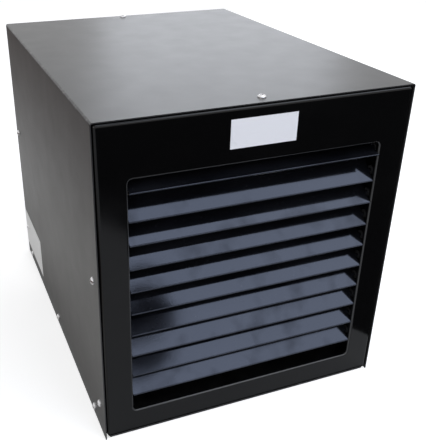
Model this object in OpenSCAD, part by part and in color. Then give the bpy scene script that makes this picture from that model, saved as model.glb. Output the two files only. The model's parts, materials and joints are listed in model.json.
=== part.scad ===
// Louvred electric fan heater in a folded steel cabinet.
// Axes: +X to the right of the outlet, +Y from the outlet towards the inlet, +Z up.
// Origin: under the middle of the whole heater, on the standing surface. All sizes in millimetres.

/* [Cabinet] */
// Outside width of the wrap-round cover
cabinet_w = 372; // [300:1:420]
// Outside height of the wrap-round cover
cabinet_h = 400; // [320:1:460]
// Depth of the wrap-round cover
cabinet_d = 490; // [480:1:560]
// Thickness of every folded steel sheet
sheet = 1.2; // [1:0.1:1.5]
// Outer bend radius of the cover's two top edges
cover_bend = 2.5; // [2:0.1:4]
// Outer bend radius round the front and rear panels
panel_bend = 4.5; // [3:0.1:6]
// Depth of the flanges turned back from the two panels
panel_flange = 30; // [26:1:34]
// Height of the upturned sides of the base tray
tray_flange = 24; // [20:1:30]
// Free gap between a panel and the cover round it
panel_gap = 0.5; // [0.3:0.1:1]
// Width of the notch that opens a lower corner of the front panel
notch_w = 3.8; // [3:0.1:4.2]
// Height of the notch that opens a lower corner of the front panel
notch_h = 7; // [6:0.5:9]

/* [Outlet] */
// Distance of the air outlet from either side of the cabinet
outlet_side = 36; // [34:1:44]
// Distance of the air outlet from the top of the cabinet
outlet_head = 64; // [62:1:72]
// Height of the outlet's lower edge above the floor
outlet_bottom = 34; // [32:1:36]
// Corner radius of the outlet
outlet_corner = 5; // [3:0.5:8]
// Outer bend radius of the lip round the outlet
lip_bend = 2.5; // [2:0.1:3]
// Depth of the lip behind the panel's face
lip_d = 5; // [4:0.1:5.5]

/* [Louvres] */
// How much wider a blade is than the distance between two pivots
blade_lap = 1.2; // [0:0.1:1.4]
// Thickness of a blade
louvre_t = 1.2; // [1:0.1:1.5]
// Slope of a blade, front edge down, in degrees
louvre_tilt = 45; // [30:1:60]
// Depth of the pivots behind the panel's face
pivot_set = 11.6; // [11:0.1:13]
// Height of the lowest pivot above the outlet's lower edge
pivot_rise = 33.2; // [30:0.1:34]
// Depth of the highest pivot below the outlet's upper edge
pivot_drop = 9.6; // [9:0.1:12]
// Radius of the pivot pins
pin_r = 2; // [1.5:0.1:2.2]
// Depth of the frame that carries the blades
frame_d = 28; // [27:1:30]

/* [Fan] */
// Width of the space between either side of the air duct and the cover
side_space = 26.4; // [26:0.1:40]
// Height of the inlet ring's lowest point above the floor
ring_low = 13; // [8:1:20]
// Number of fan blades
fan_blades = 5; // [3:1:7]
// Slope of the fan blades, in degrees
fan_pitch = 32; // [25:1:36]
// Gap between the blade tips and the ring round them
tip_gap = 4; // [2:0.5:6]
// Outer radius of the motor's turning shell
rotor_r = 55; // [50:1:60]
// Length of the motor's turning shell
rotor_l = 52; // [48:1:54]

/* [Heating] */
// Height from one element to the next
element_pitch = 80; // [60:1:85]
// Distance between the two legs of an element
leg_spacing = 50; // [44:1:60]
// Radius of the heating tube
tube_r = 4.2; // [3.5:0.1:5]
// Radius of the fins on the tube
fin_r = 17; // [12:0.5:19]
// Distance from one fin to the next
fin_pitch = 7.5; // [6:0.5:12]
// Thickness of a fin
fin_t = 0.6; // [0.5:0.1:1]
// Depth of the elements behind the panel's face
element_set = 240; // [200:1:300]

/* [Fasteners] */
// Head radius of the pan-head screws
screw_head_r = 4.6; // [3.5:0.1:5]
// Head height of the pan-head screws
screw_head_h = 3.4; // [2:0.1:3.6]
// Shank radius of the pan-head screws
screw_r = 2.1; // [1.8:0.1:2.4]
// Distance of the side screws from the front and rear edges
screw_edge = 20; // [18:1:24]
// Distance of the front top screw from the front edge
front_top_edge = 16; // [12:1:20]
// Distance of the rear top screw from the rear edge
rear_top_edge = 10; // [9:1:16]
// How far the front top screw sits right of the middle
front_top_shift = 3; // [-5:0.5:5]
// Height of the lower screw near the front edge
front_screw_low = 41; // [38:1:60]
// Height of the lower screw near the rear edge
rear_screw_low = 56; // [38:1:60]
// Height from the lower to the upper side screw
screw_rise = 174; // [150:1:200]
// Height of the row of screws along the base
base_screw_z = 13; // [10:1:16]
// Distance of the base row's first screw from the front edge
base_screw_first = 47; // [44:1:52]
// Distance of the base row's last screw from the rear edge
base_screw_last = 39; // [34:1:44]

/* [Plates] */
// Width of the name plate on the front panel
badge_w = 78; // [60:1:90]
// Height of the name plate on the front panel
badge_h = 32; // [24:1:40]
// Length of the rating plate on the left side
rating_l = 130; // [80:1:130]
// Height of the rating plate on the left side
rating_h = 65; // [40:1:70]
// Height of the name plate's middle above the outlet
badge_rise = 33.5; // [30:0.5:36]
// Thickness of both plates
plate_t = 0.4; // [0.3:0.1:0.6]

/* [Base fixing] */
// Radius of the fixing holes in the base
fixing_r = 4.5; // [3.5:0.5:5.5]
// Distance between the fixing holes from left to right
fixing_w = 240; // [200:1:260]
// Distance between the fixing holes from front to rear
fixing_d = 300; // [280:1:340]

/* [Hidden] */
$fn = 64;
panel_fn = 48;         // facets of a full turn on the front panel
over = 1;              // how far a cut runs past a face
seat = 0.3;            // gap between pieces that rest on each other
run_clear = 0.05;      // radial clearance of a turning fit
hole_clear = 0.2;      // radial clearance of a screw in its hole

half_w = cabinet_w / 2;
outlet_w = cabinet_w - 2 * outlet_side;
outlet_h = cabinet_h - outlet_head - outlet_bottom;

panel_hw = half_w - sheet - panel_gap;
panel_z0 = sheet + seat;
panel_z1 = cabinet_h - sheet - panel_gap;
outlet_hw = outlet_w / 2;
outlet_top = outlet_bottom + outlet_h;

// how each blade is set apart from louvre_tilt, from the bottom blade up, in degrees
tilt_offsets = [0, 0, 2, 1, -1, -1, 0, -5, 1, -25];
louvre_count = len(tilt_offsets);
top_tilt = louvre_tilt + tilt_offsets[louvre_count - 1];
louvre_pitch = (outlet_h - pivot_rise - pivot_drop) / (louvre_count - 1);
louvre_chord = louvre_pitch + blade_lap;
blade_gap = 0.6;       // gap between a blade's end and the lip
blade_hw = outlet_hw - blade_gap;
ear_r = 5;             // radius of the ear that holds a pivot pin
ear_t = 1.2;
hem_r = 0.9;           // radius of a blade's rolled front edge
bush_r = 3.4;
bush_flange_r = 5.2;
bush_flange_t = 1.2;
bush_out = 1.6;        // how far a bush stands out of the frame

frame_set = sheet + seat; // front of the louvre frame behind the panel's face
frame_lug = 12;        // width of the louvre frame's front flange
frame_hw = outlet_hw + lip_bend;
frame_z0 = outlet_bottom - lip_bend;
swing_room = 2;        // room above the top blade's swing
frame_z1 = outlet_top - pivot_drop + louvre_chord / 2 + swing_room;

fan_z = outlet_bottom + outlet_h / 2;
ring_bend = 8;         // outer radius of the ring's flare
ring_flange = 12;
duct_room = 4;         // gap between the inlet ring and the duct
duct_hw = half_w - 2 * sheet - side_space;

// the inlet ring fills the duct's width or the cabinet's height, whichever is less
ring_r = min(duct_hw - duct_room - sheet, fan_z - ring_low - ring_flange - ring_bend);
fan_r = ring_r - tip_gap; // radius over the fan's blade tips
ring_set = cabinet_d - sheet - seat;
ring_l = 62;
inlet_rim = 6;         // how far the rear panel covers the ring's edge
inlet_r = ring_r - inlet_rim;

duct_gap = 2;          // gap in front of and behind the duct
duct_set = frame_set + frame_d + duct_gap;
duct_end = cabinet_d - panel_flange - duct_gap;
duct_foot = 14;
deck_z = frame_z1 + sheet;
deck_lip = 12;
side_top = deck_z - seat;

flange_out = 0.9;      // how far the motor's flange stands out of the rear panel
stator_end = cabinet_d + flange_out;
stator_flange_r = 40;
stator_flange_t = 6;
rotor_room = 15;       // gap between the turning shell and the motor's flange
rotor_set = stator_end - stator_flange_t - rotor_room - rotor_l;
rotor_wall = 3;
hub_t = 2;
hub_l = 36;
fan_mid = rotor_set + rotor_l / 2;
blade_t = 1.6;
camber_r = 140;
root_half = 26;
tip_half = 46;
shaft_r = 5;
shaft_l = 54;
bearing_r = 11;
bearing_w = 8;
stator_tube_r = 14;
air_gap = 0.6;
core_l = 32;
core_room = 7;         // gap between the shell's end wall and the core
core_set = rotor_set + rotor_wall + core_room;
winding_l = 5;
winding_in = 22;
winding_out = 42;

guard_wire = 1.6;
spoke_wire = 2.5;
guard_hub_r = 46;
guard_hub_t = 2;
guard_step = 12;
guard_spokes = 8;
guard_out_r = guard_hub_r + floor((ring_r + ring_bend - guard_hub_r) / guard_step) * guard_step;
guard_lug_w = 16;
guard_lug_r = ring_r + ring_bend + ring_flange / 2;
guard_lug_t = flange_out + guard_hub_t;
guard_screws = 4;
weld_sink = 0.5;       // how far the guard's wires melt into what they cross
spoke_set = stator_end + guard_hub_t + spoke_wire - weld_sink;
wire_set = spoke_set + spoke_wire + guard_wire - 2 * weld_sink;
motor_screws = 4;
motor_screw_ring = 28;
motor_screw_r = 2.5;
motor_screw_head = 4.5;
motor_screw_h = 3;

element_count = 3;
end_room = 16;         // gap between an element's bend and the duct
bend_clear = 10;       // distance of the hanger from the start of the bend
fin_margin = 21;       // distance of the first fin from the duct's side
fin_stop = 6;          // distance of the last fin from the hanger
leg_x0 = -duct_hw - sheet;
leg_x1 = duct_hw - end_room - leg_spacing / 2 - tube_r;
fin_x0 = -duct_hw + fin_margin;
hanger_x = leg_x1 - bend_clear;
element_bush_r = 7;
element_bush_l = 8;
element_nut_r = 11;
element_nut_t = 5;
insulator_r = 4.2;
insulator_l = 6;
stud_r = 2;
stud_l = 7;
busbar_t = 1.5;
busbar_w = 12;
hanger_rim = 18;       // metal beyond the outer bores of the hanger
hanger_hw = leg_spacing / 2 + hanger_rim;
hanger_foot = 16;

gland_inset = 76;      // distance of the cable gland from the cabinet's side
gland_x = gland_inset - half_w;
gland_hex_r = 15;

rail_w = 35;
rail_h = 7.5;
rail_l = 190;
rail_lip = 5;
rail_x = gland_x + rail_l / 2 - gland_hex_r;
rail_d = 300;
contactor_w = 45;
contactor_inset = 30;  // distance of the contactor's middle from the rail's
contactor_l = 76;
contactor_h = 34;
contactor_x = rail_x - contactor_inset;
contactor_ways = 3;
terminal_w = 62;
terminal_inset = 48;   // distance of the terminal block's middle from the rail's
terminal_l = 40;
terminal_h = 28;
terminal_x = rail_x + terminal_inset;
terminal_ways = 5;
block_step = 2;        // height of the raised middle of a block
block_inset = 1;
clamp_r = 2.4;
clamp_h = 5;
clamp_slot = 0.8;
clamp_well = 6;        // depth of the well that holds a clamp screw

service_z = (deck_z + cabinet_h) / 2;
gland_r = 7.5;
gland_thread_r = 11;
gland_hex_t = 6;
gland_in = 10;
gland_cap_r = 13.5;
gland_cap_l = 14;
gland_cap_end = 3;
gland_nut_t = 4;

// the blade that lies flattest stands out in front, and the cable gland behind
front_reach = (louvre_chord / 2 - hem_r) * cos(top_tilt) + hem_r - pivot_set;
rear_reach = gland_hex_t + gland_cap_l;
y_front = (front_reach - cabinet_d - rear_reach) / 2;

reset_inset = 91;      // distance of the reset button from the cabinet's side
reset_x = half_w - reset_inset;
reset_body_r = 16;
reset_body_l = 22;
reset_neck_r = 6;
reset_neck_out = 6;
reset_nut_r = 9;
reset_nut_t = 2.5;
reset_button_r = 3.4;
reset_button_out = 2.5;
reset_button_l = 12;
reset_travel = 1.5;

earth_inset = 56;      // distance of the earth stud from the cabinet's side
earth_x = half_w - earth_inset;
earth_d = 380;
earth_r = 2.5;
earth_l = 22;
earth_nut_r = 4.6;
earth_nut_t = 4;

lead_r = 1.6;
lead_rise = 18;
lead_step = 12;

cover_steel = [0.16, 0.16, 0.17];
gloss_black = [0.06, 0.06, 0.065];
zinc = [0.72, 0.73, 0.75];
bright = [0.82, 0.82, 0.83];
brass = [0.8, 0.62, 0.28];
ceramic = [0.93, 0.91, 0.85];
polymer = [0.2, 0.2, 0.21];

base_screw_pitch = (cabinet_d - base_screw_first - base_screw_last) / 2;

side_screws = [
    [screw_edge, front_screw_low],
    [screw_edge, front_screw_low + screw_rise],
    [base_screw_first, base_screw_z],
    [base_screw_first + base_screw_pitch, base_screw_z],
    [cabinet_d - base_screw_last, base_screw_z],
    [cabinet_d - screw_edge, rear_screw_low],
    [cabinet_d - screw_edge, rear_screw_low + screw_rise]
];
top_screws = [[front_top_shift, front_top_edge], [0, cabinet_d - rear_top_edge]];
rating_edge = 1;       // distance of the rating plate from the rear edge
rating_set = cabinet_d - rating_edge - rating_l;
rating_z = 19;

function pivot_z(i) = outlet_bottom + pivot_rise + i * louvre_pitch;
function element_z(i) = fan_z + (i - (element_count - 1) / 2) * element_pitch;

// Helpers: d is the depth behind the front panel's face

module at_d(d) {
    translate([0, y_front + d, 0]) children();
}

module slab(x0, x1, d0, d1, z0, z1) {
    translate([x0, y_front + d0, z0]) cube([x1 - x0, d1 - d0, z1 - z0]);
}

// cylinder along the depth
module rod_d(r, d0, d1) {
    at_d(d0) rotate([-90, 0, 0]) cylinder(r = r, h = d1 - d0);
}

// cylinder along the width, at the current place
module rod_x(r, x0, x1) {
    translate([x0, 0, 0]) rotate([0, 90, 0]) cylinder(r = r, h = x1 - x0);
}

// hexagonal nut along the depth
module hex_d(r, d0, d1) {
    at_d(d0) rotate([-90, 0, 0]) cylinder(r = r, h = d1 - d0, $fn = 6);
}

// an outline in X and Z, extruded along the depth
module extrude_d(d0, d1) {
    at_d(d1) rotate([90, 0, 0]) linear_extrude(d1 - d0) children();
}

module round_rect(hw, z0, z1, r) {
    translate([-hw + r, z0]) square([2 * (hw - r), z1 - z0]);
    translate([-hw, z0 + r]) square([2 * hw, z1 - z0 - 2 * r]);
    for (x = [-hw + r, hw - r], z = [z0 + r, z1 - r]) translate([x, z]) circle(r);
}

// block whose front edges and corners are rounded
module soft_block(hw, z0, z1, d0, d1, r) {
    extrude_d(d0 + r, d1) round_rect(hw, z0, z1, r);
    slab(-hw + r, hw - r, d0, d0 + r, z0 + r, z1 - r);
    at_d(d0 + r) {
        for (z = [z0 + r, z1 - r]) translate([0, 0, z]) rod_x(r, -hw + r, hw - r);
        for (x = [-hw + r, hw - r]) translate([x, 0, z0 + r]) cylinder(r = r, h = z1 - z0 - 2 * r);
        for (x = [-hw + r, hw - r], z = [z0 + r, z1 - r]) translate([x, 0, z]) sphere(r);
    }
}

// shallow folded tray, open at the back
module folded_tray() {
    difference() {
        soft_block(panel_hw, panel_z0, panel_z1, 0, panel_flange, panel_bend);
        soft_block(panel_hw - sheet, panel_z0 + sheet, panel_z1 - sheet,
            sheet, panel_flange + over, panel_bend - sheet);
    }
}

// quarter bend and straight leg of a turned lip, u out from the opening, v along the lip
module lip_section(bend, leg) {
    intersection() {
        difference() {
            translate([bend, bend]) circle(bend);
            translate([bend, bend]) circle(bend - sheet);
        }
        square([bend, bend]);
    }
    translate([0, bend]) square([sheet, leg - bend]);
}

// lip turned back round the air outlet
module outlet_lip() {
    run_x = outlet_w - 2 * outlet_corner;
    run_z = outlet_h - 2 * outlet_corner;
    at_d(0) {
        for (m = [0, 1]) mirror([m, 0, 0]) {
            translate([outlet_hw, 0, outlet_bottom + outlet_corner])
                linear_extrude(run_z) lip_section(lip_bend, lip_d);
            translate([outlet_hw - outlet_corner, 0, outlet_top - outlet_corner]) corner_lip(0);
            translate([outlet_hw - outlet_corner, 0, outlet_bottom + outlet_corner]) corner_lip(90);
        }
        for (edge = [[0, outlet_bottom], [1, outlet_top]])
            translate([-run_x / 2, 0, edge[1]]) mirror([0, 0, edge[0]])
                rotate([0, 90, 0]) linear_extrude(run_x) lip_section(lip_bend, lip_d);
    }
}

// quarter turn of the lip round one corner of the outlet
module corner_lip(turn) {
    rotate([0, turn, 0]) rotate([-90, 0, 0]) mirror([0, 1, 0])
        rotate_extrude(angle = 90) translate([outlet_corner, 0]) lip_section(lip_bend, lip_d);
}

// clearance holes for the screws through both sides and the top
module cover_holes() {
    for (s = side_screws, m = [0, 1]) mirror([m, 0, 0])
        at_d(s[0]) translate([0, 0, s[1]])
            rod_x(screw_r + hole_clear, panel_hw - 2 * sheet, half_w + over);
    for (s = top_screws)
        at_d(s[1]) translate([s[0], 0, panel_z1 - 2 * sheet])
            cylinder(r = screw_r + hole_clear, h = 4 * sheet);
}

// notches that open the front panel's lower corners, and the tray behind them
module corner_notches() {
    slope = notch_h / notch_w;
    for (m = [0, 1]) mirror([m, 0, 0]) extrude_d(-over, panel_flange + over)
        polygon([
            [panel_hw - notch_w - 2 * over / slope, panel_z0 - 2 * over],
            [panel_hw + over, panel_z0 - 2 * over],
            [panel_hw + over, panel_z0 + notch_h + over * slope]
        ]);
}

// Casing

module wrap_cover() {
    color(cover_steel) difference() {
        extrude_d(0, cabinet_d) difference() {
            cover_outline(half_w, cabinet_h, cover_bend);
            translate([0, -over]) cover_outline(half_w - sheet, cabinet_h - sheet + over, cover_bend - sheet);
        }
        cover_holes();
    }
}

// outline with two rounded top corners
module cover_outline(hw, h, r) {
    translate([-hw, 0]) square([2 * hw, h - r]);
    translate([-hw + r, 0]) square([2 * (hw - r), h]);
    for (x = [-hw + r, hw - r]) translate([x, h - r]) circle(r);
}

module front_panel() {
    $fn = panel_fn;
    color(gloss_black) {
        difference() {
            folded_tray();
            extrude_d(-over, sheet + over)
                round_rect(outlet_hw + lip_bend, outlet_bottom - lip_bend, outlet_top + lip_bend,
                    outlet_corner + lip_bend);
            cover_holes();
            corner_notches();
        }
        outlet_lip();
    }
}

module base_tray() {
    color(cover_steel) difference() {
        union() {
            slab(-panel_hw, panel_hw, 2 * sheet, cabinet_d - 2 * sheet, 0, sheet);
            for (m = [0, 1]) mirror([m, 0, 0])
                slab(panel_hw - sheet, panel_hw, duct_set, duct_end, 0, tray_flange);
        }
        cover_holes();
        corner_notches();
        for (x = [-fixing_w / 2, fixing_w / 2], d = [-fixing_d / 2, fixing_d / 2])
            at_d(cabinet_d / 2 + d) translate([x, 0, -over]) cylinder(r = fixing_r, h = sheet + 2 * over);
    }
}

module rear_panel() {
    color(cover_steel) difference() {
        translate([0, 2 * y_front + cabinet_d, 0]) mirror([0, 1, 0]) folded_tray();
        cover_holes();
        rear_hole(0, fan_z, inlet_r);
        rear_hole(gland_x, service_z, gland_thread_r + hole_clear);
        rear_hole(reset_x, service_z, reset_neck_r + hole_clear);
        guard_holes();
    }
}

module rear_hole(x, z, r) {
    translate([x, 0, z]) rod_d(r, cabinet_d - sheet - over, cabinet_d + over);
}

module guard_holes() {
    for (k = [0 : guard_screws - 1]) rotate_guard(k)
        rod_d(screw_r + hole_clear, cabinet_d - 4 * sheet, cabinet_d + 4 * sheet);
}

module rotate_guard(k) {
    translate([0, 0, fan_z]) rotate([0, (k + 0.5) * 360 / guard_screws, 0])
        translate([guard_lug_r, 0, 0]) children();
}

module name_plate() {
    z0 = outlet_top + badge_rise - badge_h / 2;
    color("white") slab(-badge_w / 2, badge_w / 2, -plate_t, 0, z0, z0 + badge_h);
}

module rating_plate() {
    color("lightgrey") difference() {
        slab(-half_w - plate_t, -half_w, rating_set, rating_set + rating_l, rating_z, rating_z + rating_h);
        at_d(cabinet_d - screw_edge) translate([0, 0, rear_screw_low])
            rod_x(screw_head_r + seat, -half_w - over, -half_w + over);
    }
}

// pan-head screw pointing down from the origin, with its cross recess
module pan_screw(shank, shank_r, head_r, head_h) {
    recess_w = head_r / 5;
    recess_l = head_r * 1.1;
    difference() {
        union() {
            cylinder(r = head_r, h = head_h / 3);
            translate([0, 0, head_h / 3]) intersection() {
                cylinder(r = head_r, h = head_h * 2 / 3);
                scale_cap(head_r, head_h * 2 / 3);
            }
            translate([0, 0, -shank]) cylinder(r = shank_r, h = shank);
        }
        for (a = [0, 90]) rotate([0, 0, a])
            translate([-recess_l / 2, -recess_w / 2, head_h / 2]) cube([recess_l, recess_w, head_h]);
    }
}

// spherical cap of base radius r and height h
module scale_cap(r, h) {
    ball = (r * r + h * h) / (2 * h);
    translate([0, 0, h - ball]) sphere(ball);
}

module sheet_screw(clamped) {
    pan_screw(clamped + 4 * sheet, screw_r, screw_head_r, screw_head_h);
}

module cover_screws() {
    color(bright) {
        for (s = side_screws, m = [0, 1]) mirror([m, 0, 0])
            at_d(s[0]) translate([half_w, 0, s[1]]) rotate([0, 90, 0]) sheet_screw(0);
        for (s = top_screws) at_d(s[1]) translate([s[0], 0, cabinet_h]) sheet_screw(0);
    }
}

// Louvres

// both ends of every blade's pivot axis
module at_pivots() {
    for (i = [0 : louvre_count - 1], m = [0, 1]) mirror([m, 0, 0])
        at_d(pivot_set) translate([0, 0, pivot_z(i)]) children();
}

module louvre_frame() {
    bottom = frame_z0 - sheet;
    top = frame_z1 + sheet;
    back = frame_set + frame_d;
    color(gloss_black) difference() {
        union() {
            for (m = [0, 1]) mirror([m, 0, 0]) {
                slab(frame_hw, frame_hw + sheet, frame_set, back, bottom, top);
                slab(frame_hw, frame_hw + frame_lug, frame_set, frame_set + sheet, bottom, top);
            }
            slab(-frame_hw, frame_hw, frame_set, back, bottom, frame_z0);
            slab(-frame_hw, frame_hw, frame_set, back, frame_z1, top);
        }
        at_pivots() rod_x(bush_r + run_clear, frame_hw - over, frame_hw + sheet + over);
    }
}

module pivot_bushes() {
    low = frame_hw - bush_flange_t;
    high = frame_hw + sheet + bush_out;
    color(polymer) at_pivots() difference() {
        union() {
            rod_x(bush_r, low, high);
            rod_x(bush_flange_r, low, frame_hw);
        }
        rod_x(pin_r + run_clear, low - over, high + over);
    }
}

// one blade with its rolled front edge, two ears and two pivot pins
module louvre(i) {
    color(gloss_black) at_d(pivot_set) translate([0, 0, pivot_z(i)])
        rotate([louvre_tilt + tilt_offsets[i], 0, 0]) {
            translate([-blade_hw, -louvre_chord / 2 + hem_r, -louvre_t / 2])
                cube([2 * blade_hw, louvre_chord - hem_r, louvre_t]);
            translate([0, -louvre_chord / 2 + hem_r, 0]) rod_x(hem_r, -blade_hw, blade_hw);
            for (m = [0, 1]) mirror([m, 0, 0]) {
                rod_x(pin_r, blade_hw - ear_t, frame_hw + sheet + bush_out);
                intersection() {
                    rod_x(ear_r, blade_hw - ear_t, blade_hw);
                    translate([blade_hw - ear_t, -ear_r, -ear_r]) cube([ear_t, 2 * ear_r, ear_r]);
                }
            }
        }
}

// Air duct

module duct_side() {
    slab(duct_hw, duct_hw + sheet, duct_set, duct_end, sheet + seat, side_top);
    slab(duct_hw, duct_hw + duct_foot, duct_set, duct_end, sheet + seat, 2 * sheet + seat);
}

module duct_left_side() {
    color(zinc) mirror([1, 0, 0]) difference() {
        duct_side();
        at_legs() rod_x(element_bush_r + hole_clear, duct_hw - over, duct_hw + sheet + over);
    }
}

module duct_right_side() {
    color(zinc) duct_side();
}

module duct_deck() {
    deck_hw = duct_hw + sheet;
    color(zinc) difference() {
        union() {
            slab(-deck_hw, deck_hw, duct_set, duct_end, deck_z, deck_z + sheet);
            for (m = [0, 1]) mirror([m, 0, 0])
                slab(deck_hw - sheet, deck_hw, duct_set, duct_end, deck_z, deck_z + deck_lip);
        }
        at_d(earth_d) translate([earth_x, 0, deck_z - over])
            cylinder(r = earth_r + hole_clear, h = sheet + 2 * over);
    }
}

// Heating

// the two legs of every element
module at_legs() {
    for (i = [0 : element_count - 1], s = [-1, 1])
        at_d(element_set + s * leg_spacing / 2) translate([0, 0, element_z(i)]) children();
}

// outline of one fin, x along the tube and y the radius
function fin_points(x) = [[x, tube_r], [x, fin_r], [x + fin_t, fin_r], [x + fin_t, tube_r]];

module finned_leg() {
    fin_run = hanger_x - fin_stop - fin_x0;
    fin_count = floor(fin_run / fin_pitch);
    comb = concat(
        [[leg_x0, 0], [leg_x0, tube_r]],
        [for (k = [0 : fin_count - 1]) for (p = fin_points(fin_x0 + k * fin_pitch)) p],
        [[leg_x1, tube_r], [leg_x1, 0]]
    );
    rotate([0, 90, 0]) rotate_extrude() polygon([for (p = comb) [p[1], p[0]]]);
}

module heating_element(i) {
    color(zinc) at_d(element_set) translate([0, 0, element_z(i)]) {
        for (s = [-1, 1]) translate([0, s * leg_spacing / 2, 0]) {
            finned_leg();
            rod_x(element_bush_r, -duct_hw - element_bush_l, -duct_hw + element_bush_l / 2);
        }
        translate([leg_x1, 0, 0]) rotate([0, 0, -90]) rotate_extrude(angle = 180)
            translate([leg_spacing / 2, 0]) circle(tube_r);
    }
}

module element_hanger() {
    low = sheet + seat;
    high = element_z(element_count - 1) + hanger_foot;
    front = element_set - hanger_hw;
    back = element_set + hanger_hw;
    color(zinc) difference() {
        union() {
            slab(hanger_x, hanger_x + sheet, front, back, low, high);
            slab(hanger_x, hanger_x + hanger_foot, front, back, low, low + sheet);
        }
        at_legs() rod_x(tube_r + run_clear, hanger_x - over, hanger_x + sheet + over);
    }
}

module element_nuts() {
    nut_x = -duct_hw - sheet - element_nut_t;
    color(brass) at_legs() difference() {
        rod_x(element_nut_r, nut_x, nut_x + element_nut_t, $fn = 6);
        rod_x(element_bush_r + run_clear, nut_x - over, nut_x + element_nut_t + over, $fn = 64);
    }
}

module element_insulators() {
    bush_end = -duct_hw - element_bush_l;
    color(ceramic) at_legs() difference() {
        rod_x(insulator_r, bush_end - insulator_l, bush_end);
        rod_x(stud_r + run_clear, bush_end - insulator_l - over, bush_end + over);
    }
}

module element_studs() {
    bush_end = -duct_hw - element_bush_l;
    color(bright) at_legs() rod_x(stud_r, bush_end - insulator_l - stud_l, bush_end);
}

// flat bar that joins the front legs' studs
module star_busbar() {
    bar_x = -duct_hw - element_bush_l - insulator_l - busbar_t;
    front_leg = element_set - leg_spacing / 2;
    color(brass) difference() {
        slab(bar_x, bar_x + busbar_t, front_leg - busbar_w / 2, front_leg + busbar_w / 2,
            element_z(0) - busbar_w, element_z(element_count - 1) + busbar_w);
        at_legs() rod_x(stud_r + run_clear, bar_x - over, bar_x + busbar_t + over);
    }
}

// Fan and motor

// spun ring that guides the air into the fan
module inlet_ring() {
    color(zinc) difference() {
        translate([0, 0, fan_z]) at_d(ring_set) rotate([90, 0, 0]) rotate_extrude() {
            translate([ring_r, 0]) lip_section(ring_bend, ring_l);
            translate([ring_r + ring_bend, 0]) square([ring_flange, sheet]);
        }
        guard_holes();
    }
}

// welded wire guard with its centre disc and four lugs
module fan_guard() {
    color(gloss_black) difference() {
        union() {
            translate([0, 0, fan_z]) {
                rod_d(guard_hub_r, stator_end, stator_end + guard_hub_t);
                for (r = [guard_hub_r + guard_step : guard_step : guard_out_r])
                    at_d(wire_set) rotate([90, 0, 0]) rotate_extrude() translate([r, 0]) circle(guard_wire);
                for (k = [0 : guard_spokes - 1]) rotate([0, k * 360 / guard_spokes, 0])
                    at_d(spoke_set) rod_x(spoke_wire, guard_hub_r - guard_step, guard_out_r + guard_wire);
            }
            for (k = [0 : guard_screws - 1]) rotate_guard(k)
                slab(-guard_lug_w, guard_lug_w / 2, cabinet_d, cabinet_d + guard_lug_t,
                    -guard_lug_w / 2, guard_lug_w / 2);
        }
        guard_holes();
        motor_holes();
    }
}

module at_motor_screws() {
    for (k = [0 : motor_screws - 1]) translate([0, 0, fan_z]) rotate([0, k * 360 / motor_screws, 0])
        translate([motor_screw_ring, 0, 0]) children();
}

module motor_holes() {
    front = stator_end - stator_flange_t;
    back = stator_end + guard_hub_t;
    at_motor_screws() rod_d(motor_screw_r + hole_clear, front - over, back + over);
}

module guard_screws() {
    color(bright) for (k = [0 : guard_screws - 1]) rotate_guard(k)
        at_d(cabinet_d + guard_lug_t) rotate([-90, 0, 0]) sheet_screw(guard_lug_t);
}

module motor_screws() {
    color(bright) at_motor_screws() at_d(stator_end + guard_hub_t) rotate([-90, 0, 0])
        pan_screw(stator_flange_t + guard_hub_t, motor_screw_r, motor_screw_head, motor_screw_h);
}

// one cambered blade, reaching from the hub to the tip along X
module fan_blade() {
    intersection() {
        rotate([90, 0, 0]) difference() {
            cylinder(r = fan_r, h = 2 * tip_half, center = true);
            cylinder(r = rotor_r + hub_t / 2, h = 2 * tip_half + over, center = true);
        }
        rotate([fan_pitch, 0, 0]) intersection() {
            translate([0, camber_r, 0]) difference() {
                rod_x(camber_r + blade_t / 2, 0, fan_r + over);
                rod_x(camber_r - blade_t / 2, -over, fan_r + 2 * over);
            }
            rotate([90, 0, 0]) linear_extrude(2 * root_half, center = true) polygon([
                [rotor_r, -root_half], [fan_r + over, -tip_half],
                [fan_r + over, tip_half], [rotor_r, root_half]
            ]);
        }
    }
}

module fan_impeller() {
    color(polymer) translate([0, 0, fan_z]) {
        difference() {
            rod_d(rotor_r + hub_t, fan_mid - hub_l / 2, fan_mid + hub_l / 2);
            rod_d(rotor_r, fan_mid - hub_l / 2 - over, fan_mid + hub_l / 2 + over);
        }
        at_d(fan_mid) for (k = [0 : fan_blades - 1]) rotate([0, k * 360 / fan_blades, 0]) fan_blade();
    }
}

module motor_rotor() {
    color(bright) translate([0, 0, fan_z]) difference() {
        rod_d(rotor_r, rotor_set, rotor_set + rotor_l);
        rod_d(rotor_r - rotor_wall, rotor_set + rotor_wall, rotor_set + rotor_l + over);
    }
}

module motor_shaft() {
    color(bright) translate([0, 0, fan_z])
        rod_d(shaft_r - run_clear, rotor_set + rotor_wall, rotor_set + rotor_wall + shaft_l);
}

module motor_stator() {
    color(zinc) translate([0, 0, fan_z]) difference() {
        rod_d(rotor_r - rotor_wall - air_gap, core_set, core_set + core_l);
        rod_d(stator_tube_r + run_clear, core_set - over, core_set + core_l + over);
    }
}

module motor_windings() {
    color(brass) translate([0, 0, fan_z]) for (d = [core_set - winding_l, core_set + core_l])
        at_d(d + winding_l) rotate([90, 0, 0]) difference() {
            cylinder(r = winding_out, h = winding_l);
            translate([0, 0, -over]) cylinder(r = winding_in, h = winding_l + 2 * over);
        }
}

module motor_flange() {
    color(zinc) difference() {
        translate([0, 0, fan_z]) difference() {
            union() {
                rod_d(stator_flange_r, stator_end - stator_flange_t, stator_end);
                rod_d(stator_tube_r, core_set - seat, stator_end - stator_flange_t / 2);
            }
            rod_d(bearing_r + run_clear, core_set - over, stator_end - stator_flange_t / 2);
        }
        motor_holes();
    }
}

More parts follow.
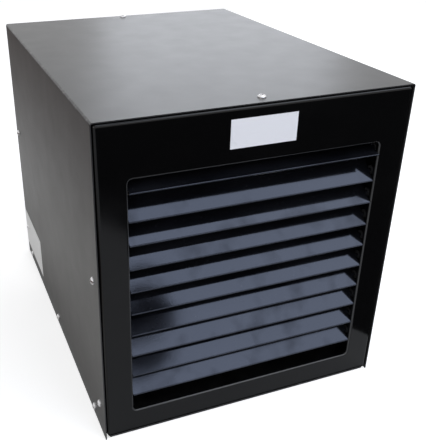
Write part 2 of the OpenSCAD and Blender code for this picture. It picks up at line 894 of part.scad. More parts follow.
module motor_bearings() {
    color(bright) translate([0, 0, fan_z]) for (d = [core_set, core_set + core_l])
        difference() {
            rod_d(bearing_r, d, d + bearing_w);
            rod_d(shaft_r, d - over, d + bearing_w + over);
        }
}

// Electrical parts on the deck

// top-hat rail: a channel with two lips turned outwards
module terminal_rail() {
    outer = rail_w / 2;
    inner = outer - rail_lip;
    color(zinc) translate([rail_x + rail_l / 2, y_front + rail_d, deck_z + sheet]) rotate([90, 0, -90])
        linear_extrude(rail_l) {
            translate([-inner, 0]) square([2 * inner, sheet]);
            for (m = [0, 1]) mirror([m, 0]) {
                translate([inner - sheet, 0]) square([sheet, rail_h]);
                translate([inner - sheet, rail_h - sheet]) square([outer - inner + sheet, sheet]);
            }
        }
}

// block on the rail with a raised middle, and a well for each clamp screw
module rail_block(x, w, ways, l, h) {
    top = deck_z + sheet + rail_h;
    front = rail_d - l / 2;
    back = rail_d + l / 2;
    difference() {
        union() {
            slab(x - w / 2, x + w / 2, front, back, top, top + h);
            slab(x - w / 2 + block_inset, x + w / 2 - block_inset, front, back,
                top + h, top + h + block_step);
        }
        at_ways(x, w, ways, l, h) cylinder(r = clamp_r + seat, h = clamp_well + over);
    }
}

// the floor of each clamp screw's well, in two rows
module at_ways(x, w, ways, l, h) {
    floor_z = deck_z + sheet + rail_h + h + block_step - clamp_well;
    way_pitch = w / (ways + 0.5);
    for (k = [0 : ways - 1], s = [-1, 1])
        at_d(rail_d + s * l / 3) translate([x + (k - (ways - 1) / 2) * way_pitch, 0, floor_z]) children();
}

module clamps(x, w, ways, l, h) {
    at_ways(x, w, ways, l, h) difference() {
        cylinder(r = clamp_r, h = clamp_h);
        translate([-clamp_r, -clamp_slot / 2, clamp_h - clamp_slot]) cube([2 * clamp_r, clamp_slot, clamp_h]);
    }
}

module terminal_block() {
    color(ceramic) rail_block(terminal_x, terminal_w, terminal_ways, terminal_l, terminal_h);
}

module terminal_clamps() {
    color(brass) clamps(terminal_x, terminal_w, terminal_ways, terminal_l, terminal_h);
}

module contactor() {
    color(polymer) rail_block(contactor_x, contactor_w, contactor_ways, contactor_l, contactor_h);
}

module contactor_clamps() {
    color(brass) clamps(contactor_x, contactor_w, contactor_ways, contactor_l, contactor_h);
}

// straight wire from one point to the next
module wire(a, b) {
    v = b - a;
    len = norm(v);
    translate(a) rotate([0, acos(v[2] / len), atan2(v[1], v[0])]) cylinder(r = lead_r, h = len);
}

// three leads from the rear legs' studs to the contactor
module heater_leads() {
    stud_end = -duct_hw - element_bush_l - insulator_l - stud_l;
    rear_leg = element_set + leg_spacing / 2;
    color("white") for (i = [0 : element_count - 1]) {
        lead_z = deck_z + lead_rise + i * lead_step / 2;
        turn_d = rear_leg + lead_step * (i + 1);
        y0 = y_front + rear_leg;
        y1 = y_front + turn_d;
        x1 = stud_end - lead_r;
        x2 = contactor_x - contactor_w / 2;
        path = [
            [x1, y0, element_z(i)], [x1, y1, element_z(i)], [x1, y1, lead_z], [x2, y1, lead_z]
        ];
        for (k = [0 : len(path) - 2]) wire(path[k], path[k + 1]);
        for (k = [1 : len(path) - 2]) translate(path[k]) sphere(lead_r);
    }
}

// thermal cut-out behind the rear panel, with a threaded neck through it
module thermal_cutout() {
    inner = cabinet_d - sheet - seat;
    color(polymer) translate([reset_x, 0, service_z]) difference() {
        union() {
            rod_d(reset_body_r, inner - reset_body_l, inner);
            rod_d(reset_neck_r, inner - over, cabinet_d + reset_neck_out);
        }
        rod_d(reset_button_r + run_clear, cabinet_d - reset_button_l, cabinet_d + reset_neck_out + over);
    }
}

module cutout_nut() {
    color(bright) translate([reset_x, 0, service_z]) difference() {
        hex_d(reset_nut_r, cabinet_d, cabinet_d + reset_nut_t);
        rod_d(reset_neck_r + run_clear, cabinet_d - over, cabinet_d + reset_nut_t + over);
    }
}

module reset_button() {
    inner = cabinet_d - reset_button_l + reset_travel + seat;
    color("firebrick") translate([reset_x, 0, service_z])
        rod_d(reset_button_r, inner, cabinet_d + reset_neck_out + reset_button_out);
}

// Cable entry

module gland_body() {
    out_end = cabinet_d + gland_hex_t + gland_cap_l - gland_cap_end - seat;
    color(polymer) translate([gland_x, 0, service_z]) difference() {
        union() {
            rod_d(gland_thread_r, cabinet_d - gland_in, out_end);
            hex_d(gland_hex_r, cabinet_d, cabinet_d + gland_hex_t);
        }
        rod_d(gland_r, cabinet_d - gland_in - over, out_end + over);
    }
}

module gland_cap() {
    low = cabinet_d + gland_hex_t + seat;
    high = cabinet_d + gland_hex_t + gland_cap_l;
    color(polymer) translate([gland_x, 0, service_z]) difference() {
        rod_d(gland_cap_r, low, high);
        rod_d(gland_thread_r + run_clear, low - over, high - gland_cap_end);
        rod_d(gland_r, high - gland_cap_end - over, high + over);
    }
}

module gland_locknut() {
    inner = cabinet_d - sheet;
    color(polymer) translate([gland_x, 0, service_z]) difference() {
        hex_d(gland_hex_r, inner - gland_nut_t, inner);
        rod_d(gland_thread_r + run_clear, inner - gland_nut_t - over, inner + over);
    }
}

module earth_stud() {
    color(bright) at_d(earth_d) translate([earth_x, 0, deck_z - earth_nut_t])
        cylinder(r = earth_r, h = earth_l);
}

module earth_nuts() {
    top = deck_z + sheet;
    color(brass) at_d(earth_d) for (z = [deck_z - earth_nut_t, top, top + 2 * earth_nut_t])
        translate([earth_x, 0, z]) difference() {
            cylinder(r = earth_nut_r, h = earth_nut_t, $fn = 6);
            translate([0, 0, -over]) cylinder(r = earth_r + run_clear, h = earth_nut_t + 2 * over);
        }
}

wrap_cover();
front_panel();
base_tray();
rear_panel();
name_plate();
rating_plate();
cover_screws();
louvre_frame();
pivot_bushes();
louvre(0);  // louvre_01
louvre(1);  // louvre_02
louvre(2);  // louvre_03
louvre(3);  // louvre_04
louvre(4);  // louvre_05
louvre(5);  // louvre_06
louvre(6);  // louvre_07
louvre(7);  // louvre_08
louvre(8);  // louvre_09
louvre(9);  // louvre_10
duct_left_side();
duct_right_side();
duct_deck();
heating_element(0);  // heating_element_1
heating_element(1);  // heating_element_2
heating_element(2);  // heating_element_3
element_hanger();
element_nuts();
element_insulators();
element_studs();
star_busbar();
inlet_ring();
fan_guard();
guard_screws();
fan_impeller();
motor_rotor();
motor_shaft();
motor_stator();
motor_windings();
motor_flange();
motor_bearings();
motor_screws();
terminal_rail();
terminal_block();
terminal_clamps();
contactor();
contactor_clamps();
heater_leads();
thermal_cutout();
cutout_nut();
reset_button();
gland_body();
gland_cap();
gland_locknut();
earth_stud();
earth_nuts();
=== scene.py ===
"""Looks of the louvred electric fan heater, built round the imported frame."""
import json
import math

import bpy
from mathutils import Euler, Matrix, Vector


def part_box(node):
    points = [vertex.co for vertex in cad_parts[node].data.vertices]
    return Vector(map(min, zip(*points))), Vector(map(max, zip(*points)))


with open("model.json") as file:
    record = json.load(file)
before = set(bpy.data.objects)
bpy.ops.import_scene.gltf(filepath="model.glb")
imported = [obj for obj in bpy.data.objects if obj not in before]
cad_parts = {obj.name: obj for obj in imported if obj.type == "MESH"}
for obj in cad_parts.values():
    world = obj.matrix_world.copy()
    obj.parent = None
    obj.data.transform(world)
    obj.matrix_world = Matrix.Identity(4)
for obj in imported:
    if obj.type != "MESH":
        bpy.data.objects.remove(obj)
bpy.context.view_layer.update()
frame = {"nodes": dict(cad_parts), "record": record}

# Camera: the photograph's place and direction, in metres and degrees
CAMERA_PLACE = (-0.330769, -0.829654, 0.606716)
CAMERA_YAW = 20.745
CAMERA_PITCH = 27.335
CAMERA_LENS_MM = 53.912
SENSOR_MM = 36.0
CAMERA_SHIFT = (0.11324, -0.01165)

# Softboxes: where each stands from the object's middle, its size in metres, power and colour.
# The front one shows in the blades, the rear one in the top and the side one in the left side.
FRONT_BOX = {"way": (0.346, -0.506, 0.790), "away": 2.2, "size": (1.7, 1.9), "power": 27.0,
             "color": (0.80, 0.87, 1.0)}
REAR_BOX = {"way": (0.41, 0.80, 0.44), "away": 2.2, "size": (1.05, 1.15), "power": 6.25,
            "color": (0.86, 0.91, 1.0)}
SIDE_BOX = {"way": (-0.75, -0.6, 0.35), "away": 2.6, "size": (1.6, 1.2), "power": 10.0,
            "color": (1.0, 0.97, 0.94)}
# A dark oval flag just under the front softbox, in metres from its middle and degrees.
# It darkens the left ends of a few blades.
FLAG = {"across": -0.52, "up": -0.20, "below": 0.05, "long": 0.225, "wide": 0.16, "turn": 58.0}
FLAG_SIDES = 32

# The even light of the room, and the paper floor
AMBIENT = 0.45
FLOOR_GREY = (0.80, 0.80, 0.80)
FLOOR_HALF = 15.0
FLOOR_DROP = 0.0002
FLOOR_LIFT = 0.62       # what the camera sees above the lit paper
FLOOR_GLOSS = 0.085     # what reflections see above the lit paper

# The cabinet's outside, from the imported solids
_, cover_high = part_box("wrap_cover")
panel_low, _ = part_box("front_panel")
HALF_W = cover_high.x
TOP_Z = cover_high.z
FRONT_Y = panel_low.y

# The air outlet in the front panel, and its bent lip
OUTLET_HALF_W = HALF_W - 0.036
OUTLET_LOW, OUTLET_HIGH = 0.034, TOP_Z - 0.064
OUTLET_CORNER = 0.005
LIP_BEND = 0.0025
COVER_BEND = 0.0035

# Cards just above the floor, which only the object's gloss shows
CARD_LIFT = 0.0006
CARD_REACH = 4.0
FRONT_CARD_RIGHT = (0.263, FRONT_Y - 0.006)
FRONT_CARD_LEFT = (0.009, FRONT_Y - 0.466)
FRONT_CARD_ON = 1.6     # how far its slanted edge runs past the left point
# The foot card is painted shade: a dark strip along the panel's foot, which only the panel's gloss shows.
FOOT_CARD_DEPTH = 0.006
SIDE_CARD_GAP = 0.004
SIDE_CARD_FRONT = -0.6
# The side card's glow is painted light: it brightens the sheen of the left side.
SIDE_CARD_GLOW = 0.3
# The near grey of the side card is painted shade next to the cabinet, seen in the side's gloss.
SIDE_NEAR_SHADE = (0.42, 0.41, 0.40)
SIDE_PALE = (0.92, 0.91, 0.88)
SIDE_FAR = (0.07, 0.042, 0.033)
PALE_FROM, PALE_FULL = HALF_W, HALF_W + 0.11
FAR_FROM, FAR_FULL = HALF_W + 0.13, HALF_W + 0.26


# Node helpers

def new_shader(name, color, roughness, metallic=0.0, ior=1.5):
    """A material and its Principled shader, with plain values on the shader's own sockets."""
    material = bpy.data.materials.new(name)
    material.use_nodes = True
    shader = material.node_tree.nodes["Principled BSDF"]
    shader.inputs["Base Color"].default_value = (*color, 1.0)
    shader.inputs["Roughness"].default_value = roughness
    shader.inputs["Metallic"].default_value = metallic
    shader.inputs["IOR"].default_value = ior
    return material, shader


def tree_of(shader):
    """The node tree that holds the shader."""
    return shader.id_data


def put(tree, kind, values=None, **settings):
    """A node with its settings and its unlinked input values."""
    made = tree.nodes.new(kind)
    for key, value in settings.items():
        setattr(made, key, value)
    for key, value in (values or {}).items():
        made.inputs[key].default_value = value
    return made


def places(tree, stretch=(1.0, 1.0, 1.0)):
    """The piece's own coordinates in metres, stretched along the axes."""
    coordinates = put(tree, "ShaderNodeTexCoord")
    mapping = put(tree, "ShaderNodeMapping", {"Scale": stretch})
    tree.links.new(coordinates.outputs["Object"], mapping.inputs["Vector"])
    return mapping.outputs["Vector"]


def noise(tree, per_metre, detail=2.0, stretch=(1.0, 1.0, 1.0)):
    """Soft noise from 0 to 1."""
    made = put(tree, "ShaderNodeTexNoise", {"Scale": per_metre, "Detail": detail})
    tree.links.new(places(tree, stretch), made.inputs["Vector"])
    return made.outputs["Fac"]


def cells(tree, per_metre):
    """Flat cells, each with a colour of its own."""
    made = put(tree, "ShaderNodeTexVoronoi", {"Scale": per_metre})
    tree.links.new(places(tree), made.inputs["Vector"])
    return made.outputs["Color"]


def bands(tree, per_metre, direction):
    """Straight bands across one direction."""
    made = put(tree, "ShaderNodeTexWave", {"Scale": per_metre}, wave_type="BANDS", bands_direction=direction)
    tree.links.new(places(tree), made.inputs["Vector"])
    return made.outputs["Fac"]


def spread(tree, source, low, high, to_low, to_high):
    """Maps the source from one range to another, and stops at its ends."""
    ends = {"From Min": low, "From Max": high, "To Min": to_low, "To Max": to_high}
    made = put(tree, "ShaderNodeMapRange", ends)
    tree.links.new(source, made.inputs["Value"])
    return made.outputs["Result"]


def math_node(tree, operation, first, second=0.0):
    """One sum of two values, either of which may be a socket."""
    made = put(tree, "ShaderNodeMath", operation=operation)
    for socket, value in zip(made.inputs, (first, second)):
        if isinstance(value, (int, float)):
            socket.default_value = value
        else:
            tree.links.new(value, socket)
    return made.outputs["Value"]


def blend_colors(tree, share, first, second):
    """From the first colour at a share of 0 to the second at 1. Any of the three may be a socket."""
    made = put(tree, "ShaderNodeMix", data_type="RGBA")
    sockets = (made.inputs["Factor"], made.inputs[6], made.inputs[7])
    for socket, value in zip(sockets, (share, first, second)):
        if isinstance(value, tuple):
            socket.default_value = (*value, 1.0)
        elif isinstance(value, (int, float)):
            socket.default_value = value
        else:
            tree.links.new(value, socket)
    return made.outputs[2]


def roughen(shader, source, smooth, rough):
    """Lets the source move the roughness between two values."""
    tree = tree_of(shader)
    tree.links.new(spread(tree, source, 0.3, 0.7, smooth, rough), shader.inputs["Roughness"])


def dent(shader, source, depth, strength=1.0):
    """Bump of the given depth in metres."""
    tree = tree_of(shader)
    made = put(tree, "ShaderNodeBump", {"Distance": depth, "Strength": strength})
    tree.links.new(source, made.inputs["Height"])
    before = shader.inputs["Normal"].links
    if before:
        tree.links.new(before[0].from_socket, made.inputs["Normal"])
    tree.links.new(made.outputs["Normal"], shader.inputs["Normal"])


def facing_up(tree):
    """1 where the surface faces up, 0 where it is upright or faces down."""
    geometry = put(tree, "ShaderNodeNewGeometry")
    split = put(tree, "ShaderNodeSeparateXYZ")
    tree.links.new(geometry.outputs["Normal"], split.inputs["Vector"])
    return spread(tree, split.outputs["Z"], 0.3, 0.95, 0.0, 1.0)


def near_edge(tree, axis, edge, width):
    """1 at a plane across one axis, on either side of the middle, and 0 a width away from it."""
    split = put(tree, "ShaderNodeSeparateXYZ")
    tree.links.new(places(tree), split.inputs["Vector"])
    distance = math_node(tree, "ABSOLUTE", split.outputs[axis])
    return spread(tree, distance, edge - width, edge, 0.0, 1.0)


def outlet_rim_highlight(tree):
    """1 on the bend of the lip round the outlet, where a highlight is painted."""
    split = put(tree, "ShaderNodeSeparateXYZ")
    tree.links.new(places(tree), split.inputs["Vector"])
    middle, half_h = (OUTLET_LOW + OUTLET_HIGH) / 2, (OUTLET_HIGH - OUTLET_LOW) / 2
    across = math_node(tree, "ABSOLUTE", split.outputs["X"])
    up = math_node(tree, "ABSOLUTE", math_node(tree, "SUBTRACT", split.outputs["Z"], middle))
    across = math_node(tree, "SUBTRACT", across, OUTLET_HALF_W - OUTLET_CORNER)
    up = math_node(tree, "SUBTRACT", up, half_h - OUTLET_CORNER)
    across = math_node(tree, "POWER", math_node(tree, "MAXIMUM", across, 0.0), 2.0)
    up = math_node(tree, "POWER", math_node(tree, "MAXIMUM", up, 0.0), 2.0)
    away = math_node(tree, "SQRT", math_node(tree, "ADD", across, up))
    near = spread(tree, away, OUTLET_CORNER, OUTLET_CORNER + 0.1 * LIP_BEND, 0.0, 1.0)
    far = spread(tree, away, OUTLET_CORNER + 0.4 * LIP_BEND, OUTLET_CORNER + 0.7 * LIP_BEND, 1.0, 0.0)
    front = spread(tree, split.outputs["Y"], FRONT_Y + LIP_BEND, FRONT_Y + 1.2 * LIP_BEND, 1.0, 0.0)
    return math_node(tree, "MULTIPLY", math_node(tree, "MULTIPLY", near, far), front)


# Materials, one for each slot of the record

def satin_black_paint(name):
    """Fine-textured powder coat with a dust film, and worn along the cover's bends."""
    base = (0.020, 0.020, 0.021)
    material, shader = new_shader(name, base, 0.35, ior=1.45)
    tree = tree_of(shader)
    cloud = noise(tree, 7.0, 4.0)
    color = blend_colors(tree, spread(tree, cloud, 0.3, 0.7, 0.0, 1.0), base, (0.024, 0.024, 0.025))
    dust = spread(tree, noise(tree, 26.0, 5.0), 0.4, 0.8, 0.0, 0.035)
    dust = math_node(tree, "MULTIPLY", facing_up(tree), dust)
    color = blend_colors(tree, dust, color, (0.20, 0.19, 0.18))
    side_edge, top_edge = near_edge(tree, "X", HALF_W, COVER_BEND), near_edge(tree, "Z", TOP_Z, COVER_BEND)
    bend = math_node(tree, "MULTIPLY", side_edge, top_edge)
    chips = spread(tree, noise(tree, 160.0, 4.0), 0.52, 0.62, 0.0, 0.8)
    color = blend_colors(tree, math_node(tree, "MULTIPLY", bend, chips), color, (0.16, 0.155, 0.15))
    tree.links.new(color, shader.inputs["Base Color"])
    roughen(shader, noise(tree, 30.0, 4.0), 0.325, 0.355)
    dent(shader, noise(tree, 950.0, 2.0), 0.00005, 0.35)
    dent(shader, noise(tree, 4.0, 1.0), 0.0003, 0.1)
    return material


def gloss_black_paint(name):
    """Smooth gloss paint with orange peel, faint wipe marks, dust on what faces up, and a thin painted
    highlight along the bend of the outlet's lip.
    """
    base = (0.0012, 0.0012, 0.0014)
    material, shader = new_shader(name, base, 0.12, ior=1.34)
    tree = tree_of(shader)
    dust = spread(tree, noise(tree, 60.0, 4.0), 0.4, 0.8, 0.0, 0.02)
    dust = math_node(tree, "MULTIPLY", facing_up(tree), dust)
    wipes = spread(tree, noise(tree, 14.0, 3.0, (1.0, 1.0, 2.5)), 0.5, 0.8, 0.0, 0.004)
    color = blend_colors(tree, math_node(tree, "ADD", dust, wipes), base, (0.24, 0.23, 0.22))
    # Painted highlight: a lighter grey on the bend of the lip round the outlet, standing in for the light it
    # catches.
    color = blend_colors(tree, outlet_rim_highlight(tree), color, (0.052, 0.052, 0.053))
    tree.links.new(color, shader.inputs["Base Color"])
    roughen(shader, noise(tree, 22.0, 4.0), 0.08, 0.16)
    dent(shader, noise(tree, 330.0, 1.0), 0.00004, 0.2)
    return material


def louvre_paint(name):
    """Gloss paint of the blades, with smudges, specks and a soft film drawn out along the blade."""
    base = (0.003, 0.0032, 0.0045)
    material, shader = new_shader(name, base, 0.1, ior=1.5)
    shader.inputs["Specular Tint"].default_value = (0.70, 0.78, 1.0, 1.0)
    tree = tree_of(shader)
    smudges = spread(tree, noise(tree, 24.0, 3.0, (1.0, 1.0, 0.6)), 0.52, 0.72, 0.5, 0.30)
    tree.links.new(smudges, shader.inputs["Specular IOR Level"])
    film = spread(tree, noise(tree, 16.0, 3.0, (0.6, 1.0, 1.6)), 0.35, 0.7, 0.0, 1.0)
    color = blend_colors(tree, film, base, (0.008, 0.0085, 0.011))
    specks = spread(tree, noise(tree, 420.0, 2.0), 0.66, 0.74, 0.0, 0.12)
    color = blend_colors(tree, specks, color, (0.09, 0.09, 0.09))
    tree.links.new(color, shader.inputs["Base Color"])
    roughen(shader, noise(tree, 12.0, 3.0, (0.5, 1.0, 1.0)), 0.06, 0.14)
    dent(shader, noise(tree, 9.0, 2.0, (0.7, 1.0, 1.0)), 0.0006, 0.35)
    dent(shader, noise(tree, 600.0, 1.0), 0.00004, 0.2)
    return material


def white_plate(name):
    """Bare white plate, glossy, with fine rubbing marks."""
    base = (0.86, 0.86, 0.90)
    material, shader = new_shader(name, base, 0.3)
    tree = tree_of(shader)
    marks = spread(tree, noise(tree, 240.0, 4.0, (0.15, 1.0, 1.0)), 0.62, 0.8, 0.0, 0.25)
    color = blend_colors(tree, marks, base, (0.70, 0.70, 0.74))
    tree.links.new(color, shader.inputs["Base Color"])
    roughen(shader, noise(tree, 90.0, 3.0), 0.26, 0.38)
    dent(shader, noise(tree, 700.0, 2.0), 0.00003, 0.3)
    return material


def silver_plate(name):
    """Bare satin foil with a grain along its length."""
    material, shader = new_shader(name, (0.90, 0.90, 0.89), 0.42)
    tree = tree_of(shader)
    grain = noise(tree, 1500.0, 2.0, (1.0, 0.03, 1.0))
    streaks = spread(tree, grain, 0.3, 0.7, 0.0, 1.0)
    color = blend_colors(tree, streaks, (0.86, 0.86, 0.85), (0.95, 0.95, 0.94))
    tree.links.new(color, shader.inputs["Base Color"])
    roughen(shader, noise(tree, 60.0, 3.0), 0.36, 0.5)
    dent(shader, grain, 0.00002, 0.3)
    return material


def zinc_steel(name):
    """Galvanised sheet with its faint spangle."""
    material, shader = new_shader(name, (0.55, 0.56, 0.58), 0.4, metallic=1.0)
    tree = tree_of(shader)
    grey = put(tree, "ShaderNodeRGBToBW")
    tree.links.new(cells(tree, 95.0), grey.inputs["Color"])
    spangle = grey.outputs["Val"]
    color = blend_colors(tree, spangle, (0.44, 0.45, 0.47), (0.66, 0.67, 0.69))
    stain = spread(tree, noise(tree, 18.0, 4.0), 0.5, 0.8, 0.0, 0.4)
    tree.links.new(blend_colors(tree, stain, color, (0.38, 0.37, 0.36)), shader.inputs["Base Color"])
    roughen(shader, spangle, 0.32, 0.5)
    dent(shader, noise(tree, 500.0, 2.0), 0.00003, 0.3)
    return material


def bright_steel(name):
    """Zinc-plated steel with turning marks and a little tarnish."""
    material, shader = new_shader(name, (0.74, 0.74, 0.76), 0.25, metallic=1.0)
    tree = tree_of(shader)
    tarnish = spread(tree, noise(tree, 300.0, 4.0), 0.45, 0.75, 0.0, 0.5)
    color = blend_colors(tree, tarnish, (0.78, 0.78, 0.80), (0.55, 0.53, 0.50))
    tree.links.new(color, shader.inputs["Base Color"])
    roughen(shader, noise(tree, 900.0, 2.0), 0.2, 0.36)
    dent(shader, noise(tree, 2500.0, 1.0), 0.00001, 0.4)
    return material


def cast_aluminium(name):
    """Die-cast surface, slightly pitted."""
    material, shader = new_shader(name, (0.5, 0.5, 0.51), 0.45, metallic=1.0)
    tree = tree_of(shader)
    cloud = noise(tree, 40.0, 4.0)
    color = blend_colors(tree, cloud, (0.42, 0.42, 0.43), (0.58, 0.58, 0.59))
    tree.links.new(color, shader.inputs["Base Color"])
    roughen(shader, noise(tree, 120.0, 3.0), 0.38, 0.55)
    dent(shader, noise(tree, 800.0, 3.0), 0.0001, 0.5)
    return material


def copper_wire(name):
    """Lacquered turns, side by side."""
    material, shader = new_shader(name, (0.5, 0.21, 0.1), 0.3, metallic=0.9)
    tree = tree_of(shader)
    turns = bands(tree, 300.0, "Y")
    color = blend_colors(tree, turns, (0.28, 0.1, 0.05), (0.62, 0.28, 0.13))
    tree.links.new(color, shader.inputs["Base Color"])
    roughen(shader, noise(tree, 200.0, 2.0), 0.25, 0.4)
    dent(shader, turns, 0.0003, 0.6)
    return material


def brass(name):
    """Machined brass, dulled in patches."""
    material, shader = new_shader(name, (0.72, 0.53, 0.22), 0.3, metallic=1.0)
    tree = tree_of(shader)
    dull = spread(tree, noise(tree, 150.0, 4.0), 0.4, 0.7, 0.0, 0.6)
    color = blend_colors(tree, dull, (0.76, 0.57, 0.25), (0.45, 0.31, 0.13))
    tree.links.new(color, shader.inputs["Base Color"])
    roughen(shader, noise(tree, 400.0, 2.0), 0.24, 0.42)
    dent(shader, noise(tree, 2000.0, 1.0), 0.00001, 0.4)
    return material


def ceramic(name):
    """Glazed ceramic with fine specks."""
    material, shader = new_shader(name, (0.85, 0.82, 0.75), 0.25)
    tree = tree_of(shader)
    specks = spread(tree, noise(tree, 1200.0, 2.0), 0.66, 0.74, 0.0, 0.4)
    color = blend_colors(tree, specks, (0.86, 0.83, 0.76), (0.55, 0.48, 0.38))
    tree.links.new(color, shader.inputs["Base Color"])
    roughen(shader, noise(tree, 150.0, 2.0), 0.18, 0.34)
    dent(shader, noise(tree, 500.0, 2.0), 0.00003, 0.3)
    return material


def moulded(name, color, shade, smooth, rough):
    """Moulded polymer with a fine spark-eroded grain."""
    material, shader = new_shader(name, color, (smooth + rough) / 2)
    tree = tree_of(shader)
    cloud = spread(tree, noise(tree, 45.0, 3.0), 0.3, 0.7, 0.0, 1.0)
    tree.links.new(blend_colors(tree, cloud, color, shade), shader.inputs["Base Color"])
    roughen(shader, noise(tree, 150.0, 3.0), smooth, rough)
    dent(shader, noise(tree, 2200.0, 2.0), 0.00003, 0.4)
    return material


def pale_polymer(name):
    return moulded(name, (0.78, 0.77, 0.72), (0.70, 0.69, 0.63), 0.38, 0.5)


def black_polymer(name):
    return moulded(name, (0.010, 0.010, 0.011), (0.016, 0.016, 0.017), 0.36, 0.5)


def red_polymer(name):
    return moulded(name, (0.55, 0.035, 0.025), (0.46, 0.03, 0.02), 0.22, 0.34)


def lead_sleeve(name):
    """Glass-silk sleeve: two crossing sets of threads."""
    material, shader = new_shader(name, (0.72, 0.70, 0.64), 0.7)
    tree = tree_of(shader)
    threads = math_node(tree, "MULTIPLY", bands(tree, 700.0, "DIAGONAL"), bands(tree, 700.0, "Z"))
    color = blend_colors(tree, threads, (0.58, 0.55, 0.48), (0.80, 0.78, 0.72))
    tree.links.new(color, shader.inputs["Base Color"])
    roughen(shader, noise(tree, 300.0, 2.0), 0.6, 0.8)
    dent(shader, threads, 0.0002, 0.7)
    return material


def element_steel(name):
    """Finned steel with straw and blue heat tints."""
    material, shader = new_shader(name, (0.33, 0.31, 0.30), 0.45, metallic=1.0)
    tree = tree_of(shader)
    heat = spread(tree, noise(tree, 14.0, 3.0), 0.35, 0.65, 0.0, 1.0)
    tint = blend_colors(tree, heat, (0.36, 0.29, 0.21), (0.24, 0.25, 0.31))
    grime = spread(tree, noise(tree, 80.0, 4.0), 0.45, 0.7, 0.0, 0.5)
    tree.links.new(blend_colors(tree, grime, tint, (0.16, 0.14, 0.13)), shader.inputs["Base Color"])
    roughen(shader, noise(tree, 120.0, 3.0), 0.38, 0.6)
    dent(shader, noise(tree, 900.0, 2.0), 0.00003, 0.4)
    return material


SLOT_MATERIALS = {make.__name__: make for make in (
    satin_black_paint, gloss_black_paint, louvre_paint, white_plate, silver_plate, zinc_steel,
    bright_steel, cast_aluminium, copper_wire, brass, ceramic, pale_polymer, lead_sleeve,
    black_polymer, red_polymer, element_steel)}


def dress_nodes():
    """Every carried-over node gets its slot's material."""
    made = {name: make(name) for name, make in SLOT_MATERIALS.items()}
    for row in frame["record"]["subparts"]:
        node = frame["nodes"][row["node"]]
        if not node.material_slots:
            node.data.materials.append(None)
        for slot in node.material_slots:
            slot.material = made[row["material_slot"]]


# Stage, lights and camera

def seen_rays(tree, reflected=1.0):
    """1 for camera rays, a given share for glossy and transmission rays, and 0 for diffuse rays."""
    path = put(tree, "ShaderNodeLightPath")
    mirrored = math_node(tree, "MAXIMUM", path.outputs["Is Glossy Ray"], path.outputs["Is Transmission Ray"])
    mirrored = math_node(tree, "MULTIPLY", mirrored, reflected)
    return math_node(tree, "MAXIMUM", path.outputs["Is Camera Ray"], mirrored)


def flat_piece(name, corners, material):
    """A piece of the stage: one flat face with the given corners."""
    mesh = bpy.data.meshes.new(name)
    mesh.from_pydata(corners, [], [tuple(range(len(corners)))])
    made = bpy.data.objects.new(name, mesh)
    made.data.materials.append(material)
    bpy.context.scene.collection.objects.link(made)
    return made


def make_floor():
    """A pale floor that shows white where it is lit, and keeps the object's shadow."""
    material, shader = new_shader("floor_paper", FLOOR_GREY, 0.9)
    tree = tree_of(shader)
    tree.nodes.remove(shader)
    paper = put(tree, "ShaderNodeBsdfDiffuse", {"Color": (*FLOOR_GREY, 1.0)})
    lift = put(tree, "ShaderNodeEmission", {"Strength": FLOOR_LIFT})
    none = put(tree, "ShaderNodeEmission", {"Strength": 0.0})
    choice = put(tree, "ShaderNodeMixShader")
    total = put(tree, "ShaderNodeAddShader")
    tree.links.new(seen_rays(tree, FLOOR_GLOSS / FLOOR_LIFT), choice.inputs["Fac"])
    tree.links.new(none.outputs["Emission"], choice.inputs[1])
    tree.links.new(lift.outputs["Emission"], choice.inputs[2])
    tree.links.new(paper.outputs["BSDF"], total.inputs[0])
    tree.links.new(choice.outputs["Shader"], total.inputs[1])
    tree.links.new(total.outputs["Shader"], tree.nodes["Material Output"].inputs["Surface"])
    half, low = FLOOR_HALF, -FLOOR_DROP
    corners = [(-half, -half, low), (half, -half, low), (half, half, low), (-half, half, low)]
    flat_piece("floor", corners, material)


def make_card(name, outline, material):
    """A card just above the floor, which only shows in the object's gloss."""
    card = flat_piece(name, [(x, y, CARD_LIFT) for x, y in outline], material)
    card.visible_camera = False
    card.visible_diffuse = False
    card.visible_shadow = False
    card.visible_transmission = False


def make_black_cards():
    """The front one keeps the upper panel dark and its lower left light. A narrow one darkens its foot:
    painted shade in the panel's reflection, where the floor's contact shadow would be.
    """
    material, _ = new_shader("card_black", (0.004, 0.004, 0.004), 0.9)
    near_right, near_left = Vector(FRONT_CARD_RIGHT), Vector(FRONT_CARD_LEFT)
    far_left = near_left + (near_left - near_right).normalized() * FRONT_CARD_ON
    make_card("front_card", [near_right, far_left, (far_left.x, -CARD_REACH), (CARD_REACH, -CARD_REACH),
                             (CARD_REACH, near_right.y)], material)
    # Painted shade: a black strip along the panel's foot, seen only in its gloss, standing in for the contact
    # shadow there.
    foot = FRONT_Y - FOOT_CARD_DEPTH
    make_card("foot_card", [(-HALF_W, FRONT_Y), (HALF_W, FRONT_Y), (HALF_W, foot), (-HALF_W, foot)], material)


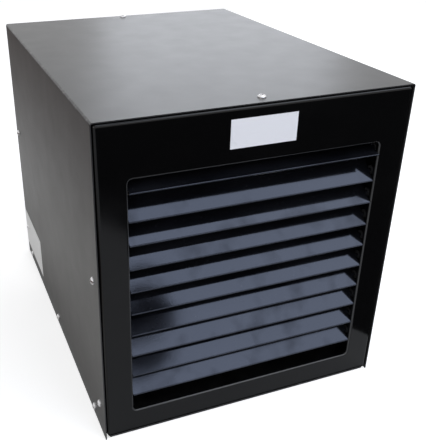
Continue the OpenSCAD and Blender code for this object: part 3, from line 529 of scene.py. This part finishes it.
def make_side_card():
    """Grey, then pale, then brown away from the cabinet: it sets the tone of the left side. The grey next to
    the cabinet is painted shade, where the floor's contact shadow would be, and the card's glow is painted
    light that brightens the side's sheen.
    """
    material, shader = new_shader("card_grey", SIDE_NEAR_SHADE, 0.9)
    tree = tree_of(shader)
    split = put(tree, "ShaderNodeSeparateXYZ")
    tree.links.new(places(tree), split.inputs["Vector"])
    away = math_node(tree, "MULTIPLY", split.outputs["X"], -1.0)
    # Painted shade: grey next to the cabinet, then the pale paper, then the brown beyond.
    color = blend_colors(tree, spread(tree, away, PALE_FROM, PALE_FULL, 0.0, 1.0), SIDE_NEAR_SHADE, SIDE_PALE)
    color = blend_colors(tree, spread(tree, away, FAR_FROM, FAR_FULL, 0.0, 1.0), color, SIDE_FAR)
    tree.links.new(color, shader.inputs["Base Color"])
    # Painted light: the card glows in its own colours, so the left side's sheen is brighter.
    tree.links.new(color, shader.inputs["Emission Color"])
    shader.inputs["Emission Strength"].default_value = SIDE_CARD_GLOW
    edge = -HALF_W - SIDE_CARD_GAP
    make_card("side_card", [(edge, SIDE_CARD_FRONT), (edge, CARD_REACH), (-CARD_REACH, CARD_REACH),
                            (-CARD_REACH, SIDE_CARD_FRONT)], material)


def make_world():
    """White where it is seen, and an even light of its own strength on the object."""
    world = bpy.data.worlds.new("studio")
    bpy.context.scene.world = world
    world.use_nodes = True
    tree = world.node_tree
    light = tree.nodes["Background"]
    light.inputs["Color"].default_value = (0.97, 0.98, 1.0, 1.0)
    light.inputs["Strength"].default_value = AMBIENT
    seen = put(tree, "ShaderNodeBackground", {"Color": (1.0, 1.0, 1.0, 1.0), "Strength": 1.0})
    choice = put(tree, "ShaderNodeMixShader")
    tree.links.new(seen_rays(tree), choice.inputs["Fac"])
    tree.links.new(light.outputs["Background"], choice.inputs[1])
    tree.links.new(seen.outputs["Background"], choice.inputs[2])
    tree.links.new(choice.outputs["Shader"], tree.nodes["World Output"].inputs["Surface"])


def make_softbox(name, box):
    """A rectangular lamp that faces the object's middle."""
    data = bpy.data.lights.new(name, "AREA")
    data.shape = "RECTANGLE"
    data.size, data.size_y = box["size"]
    data.energy = box["power"]
    data.color = box["color"]
    lamp = bpy.data.objects.new(name, data)
    middle = Vector((0.0, 0.0, TOP_Z / 2))
    way = Vector(box["way"]).normalized()
    lamp.location = middle + way * box["away"]
    lamp.rotation_euler = way.to_track_quat("Z", "Y").to_euler()
    lamp.visible_camera = False
    bpy.context.scene.collection.objects.link(lamp)
    return lamp


def make_flag(lamp):
    """A dark oval held under a softbox."""
    material, _ = new_shader("flag_black", (0.01, 0.01, 0.01), 0.9)
    turn = math.radians(FLAG["turn"])
    rim = []
    for step in range(FLAG_SIDES):
        angle = 2.0 * math.pi * step / FLAG_SIDES
        along, aside = FLAG["long"] * math.cos(angle), FLAG["wide"] * math.sin(angle)
        rim.append((FLAG["across"] + along * math.cos(turn) - aside * math.sin(turn),
                    FLAG["up"] + along * math.sin(turn) + aside * math.cos(turn), -FLAG["below"]))
    flag = flat_piece("flag", rim, material)
    flag.location, flag.rotation_euler = lamp.location, lamp.rotation_euler
    flag.visible_camera = False


def make_camera():
    """The photograph's camera."""
    data = bpy.data.cameras.new("camera")
    data.sensor_width = SENSOR_MM
    data.lens = CAMERA_LENS_MM
    data.shift_x, data.shift_y = CAMERA_SHIFT
    data.dof.use_dof = False
    camera = bpy.data.objects.new("camera", data)
    camera.location = CAMERA_PLACE
    camera.rotation_euler = Euler((math.radians(90 - CAMERA_PITCH), 0.0, math.radians(-CAMERA_YAW)))
    bpy.context.scene.collection.objects.link(camera)
    bpy.context.scene.camera = camera


make_camera()
dress_nodes()
make_floor()
make_black_cards()
make_side_card()
make_world()
make_flag(make_softbox("front_softbox", FRONT_BOX))
make_softbox("rear_softbox", REAR_BOX)
make_softbox("side_softbox", SIDE_BOX)
bpy.context.scene.view_settings.view_transform = "Standard"
